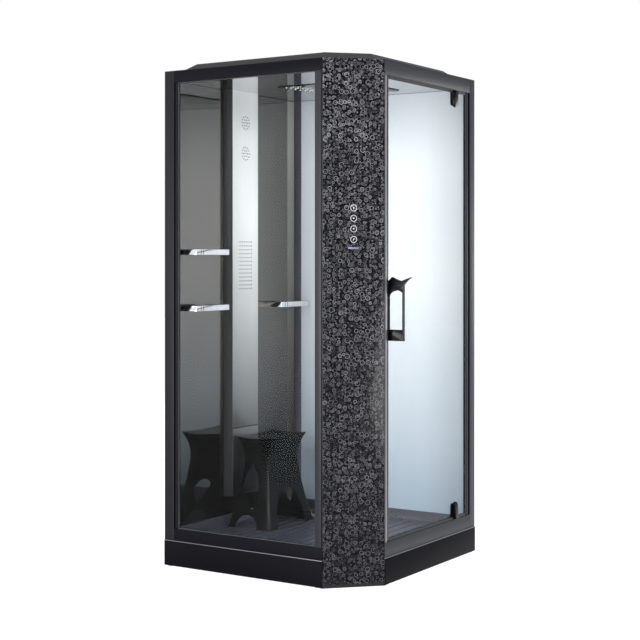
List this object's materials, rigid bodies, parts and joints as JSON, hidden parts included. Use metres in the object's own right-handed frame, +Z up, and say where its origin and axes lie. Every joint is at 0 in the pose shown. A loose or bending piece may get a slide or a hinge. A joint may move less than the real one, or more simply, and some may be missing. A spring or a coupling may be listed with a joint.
{
  "type": "shower cabin",
  "caption": "Enclosed corner shower cabin with chamfered control column, pivoting glass door, jet column, rain head, shelves and a loose stool.",
  "frame": {"origin": "middle of the square footprint, on the floor", "axes": "+Z up; the fixed glass side faces -Y, the door side +X, the shower column stands on the -X wall, the cut-off corner points to +X -Y"},
  "size_m": [1.126, 1.0035, 2.1775],
  "materials": {
    "steel_frame": "satin dark grey powder coat",
    "dark_profile": "satin near-black anodised",
    "grey_profile": "satin dark silver anodised",
    "bright_metal": "polished",
    "brushed_plate": "vertical satin grain",
    "black_plastic": "gloss black",
    "grey_plastic": "matt grey",
    "tray_acrylic": "dark gloss acrylic",
    "skirt": "satin near-black",
    "clear_glass": "clear, polished edges",
    "dark_mirror": "dark mirror glass",
    "light_glass": "back-painted pale blue",
    "rubber": "soft black",
    "clear_seal": "translucent grey",
    "brass": "plain cast",
    "roof_plastic": "satin dark grey",
    "ceiling": "gloss dark grey",
    "patterned_glass": "back-printed near-black glass",
    "print": "printed light grey",
    "board": "green lacquer",
    "stool_plastic": "gloss black"
  },
  "bodies": {
    "cabin": {"support_frame": "steel_frame", "levelling_feet": "black_plastic", "tray": "tray_acrylic", "drain_cover": "bright_metal", "waste_trap": "grey_plastic", "skirt_front": "skirt", "skirt_door": "skirt", "trim_strips": "bright_metal", "post_left": "dark_profile", "post_right": "grey_profile", "post_rear": "dark_profile", "bottom_rail_front": "dark_profile", "bottom_rails_rear": "dark_profile", "door_sill": "grey_profile", "top_rail_front": "dark_profile", "top_rail_door": "grey_profile", "top_rails_rear": "dark_profile", "glass_channel": "dark_profile", "glass_jamb": "grey_profile", "latch_jamb": "dark_profile", "pivot_jamb": "grey_profile", "fixed_glass": "clear_glass", "glass_gasket": "rubber", "dark_wall_glass": "dark_mirror", "light_wall_glass": "light_glass", "corner_trim": "dark_profile", "column_body": "dark_profile", "column_plate": "brushed_plate", "column_lower_plate": "brushed_plate", "column_back_cover": "steel_frame", "column_nozzles": "grey_plastic", "nozzle_chambers": "grey_plastic", "mixing_valve": "brass", "valve_manifold": "brass", "solenoid_valves": "black_plastic", "water_pipes": "bright_metal", "cable_gland": "black_plastic", "shelf_rails": "bright_metal", "shelf_glass": "clear_glass", "ceiling_panel": "ceiling", "rain_head": "ceiling", "rain_nozzles": "grey_plastic", "roof_plate": "roof_plastic", "roof_cover": "roof_plastic", "control_housing": "dark_profile", "control_panel": "patterned_glass", "control_board": "board", "touch_marks": "print", "pivot_bushes": "black_plastic"},
    "door": {"door_glass": "clear_glass", "latch_seal": "clear_seal", "tail_seal": "rubber", "edge_seals": "clear_seal", "hinge_clamps_outer": "black_plastic", "hinge_clamps_inner": "black_plastic", "pivot_pins": "bright_metal", "handle_outer": "black_plastic", "handle_inner": "black_plastic", "handle_bolts": "bright_metal"},
    "stool": {"stool": "stool_plastic"}
  },
  "joints": [
    {"name": "door_pivot", "type": "hinge", "parent": "cabin", "child": "door", "pos_m": [0.491, 0.308, 0.175], "axis": [0, 0, 1], "range_deg": [0, 90]},
    {"name": "stool_lift", "type": "slide", "parent": "cabin", "child": "stool", "axis": [0, 0, 1], "range_m": [0, 0.2]}
  ]
}
